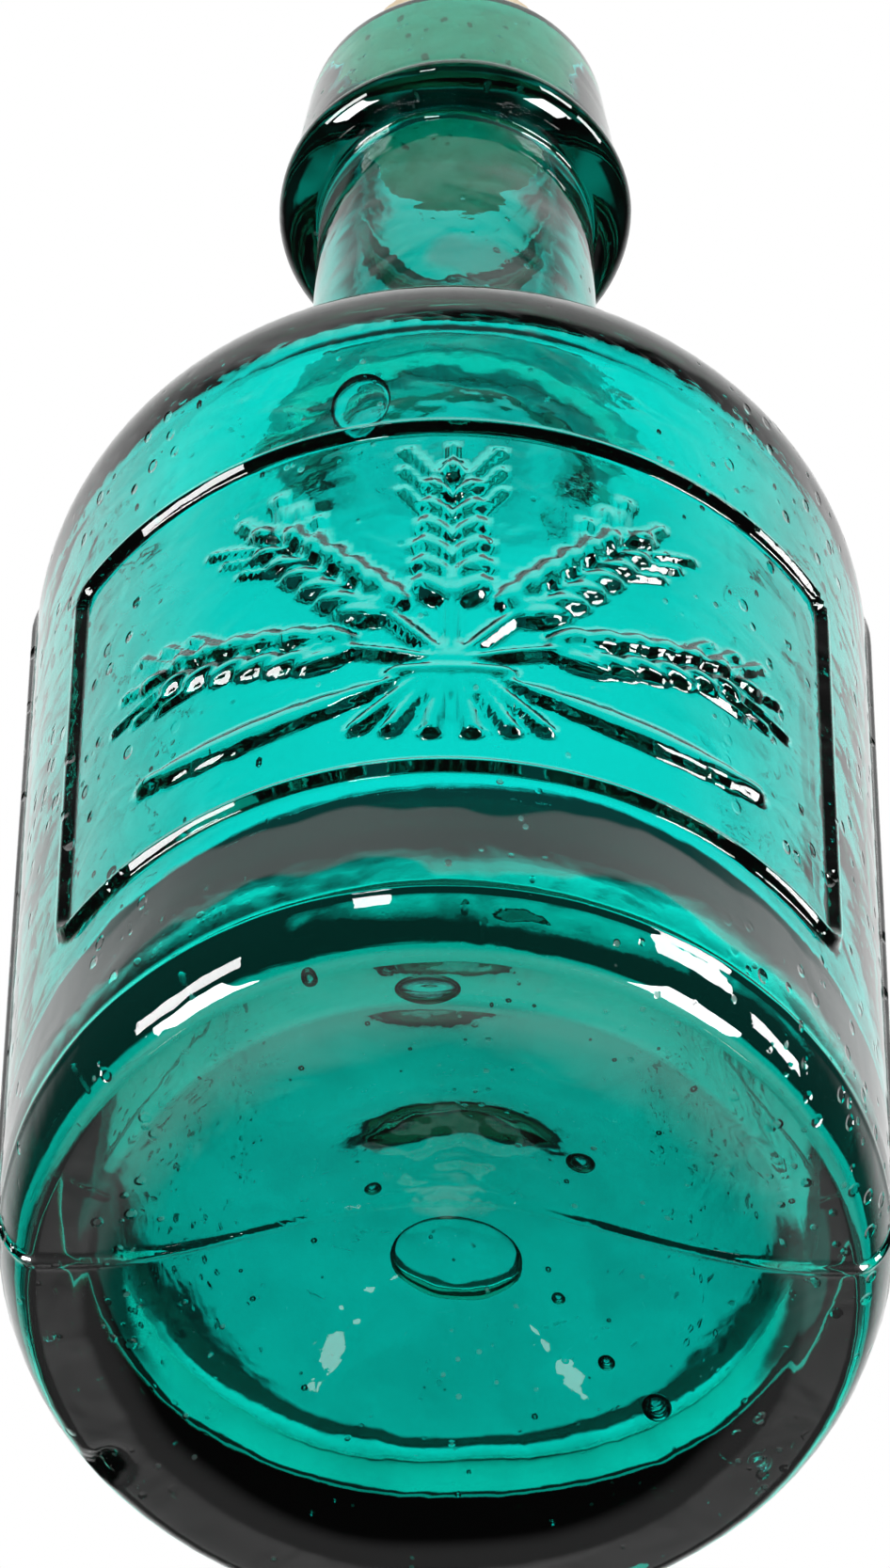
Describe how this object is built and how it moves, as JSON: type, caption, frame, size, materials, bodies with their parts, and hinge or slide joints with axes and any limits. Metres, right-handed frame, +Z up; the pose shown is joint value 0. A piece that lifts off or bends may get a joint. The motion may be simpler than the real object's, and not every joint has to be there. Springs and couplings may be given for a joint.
{
  "type": "stout bottle",
  "caption": "Squat round glass stout bottle with a framed plate on its wall, a pushed-up base, a tapered collar laid on round the neck and a pull-out cork.",
  "frame": {"origin": "centre of the flat ring that the bottle stands on", "axes": "+Z up along the bottle's axis to the mouth, the framed plate faces -Y, the mould seams lie on +X and -X"},
  "size_m": [0.0726, 0.0728, 0.191],
  "materials": {
    "bottle_glass": "clear blue-green hand-blown glass, glossy, with bubbles and wear",
    "cork": "matt natural cork"
  },
  "bodies": {
    "bottle": {"glass_body": "bottle_glass", "applied_collar": "bottle_glass"},
    "cork": {"cork": "cork"}
  },
  "joints": [
    {"name": "cork_pull", "type": "slide", "parent": "bottle", "child": "cork", "axis": [0, 0, 1], "range_m": [0, 0.045]}
  ]
}
